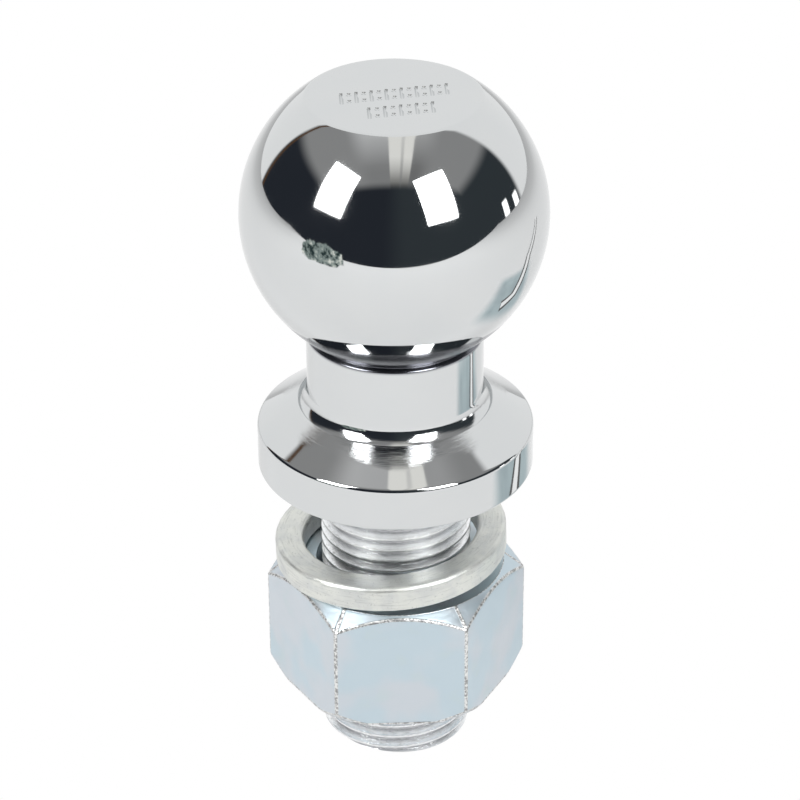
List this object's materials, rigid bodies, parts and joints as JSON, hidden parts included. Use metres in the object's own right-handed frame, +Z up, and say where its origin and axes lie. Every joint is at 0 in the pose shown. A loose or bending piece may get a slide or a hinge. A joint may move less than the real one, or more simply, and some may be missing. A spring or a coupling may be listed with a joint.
{
  "type": "trailer hitch ball",
  "caption": "Chromed tow ball on a flanged neck and threaded shank, with spring lock washer and hex nut, for bolting through a drawbar.",
  "frame": {"origin": "centre of the shank's flat end, on which the part stands", "axes": "+Z up the shank's axis towards the ball; -Y is the side the nut turns one flat face to"},
  "size_m": [0.05, 0.05, 0.1188],
  "materials": {
    "chrome": "polished chrome plate, mirror bright on ball, neck and flange",
    "washer_zinc": "dull zinc plate with fine rings from rolling",
    "nut_zinc": "clear blue zinc plate, satin"
  },
  "bodies": {
    "stud": {"ball_stud": "chrome"},
    "washer": {"lock_washer": "washer_zinc"},
    "nut": {"hex_nut": "nut_zinc"}
  },
  "joints": [
    {"name": "washer_slide", "type": "slide", "parent": "stud", "child": "washer", "axis": [0, 0, 1], "range_m": [-0.011, 0.0117]},
    {"name": "nut_turn", "type": "hinge", "parent": "washer", "child": "nut", "pos_m": [0, 0, 0.02185], "axis": [0, 0, 1], "range_deg": [-1870, 1989]}
  ],
  "couplings": [
    {"joint": "washer_slide", "follows": "nut_turn", "m_per_rad": 0.00033688}
  ]
}
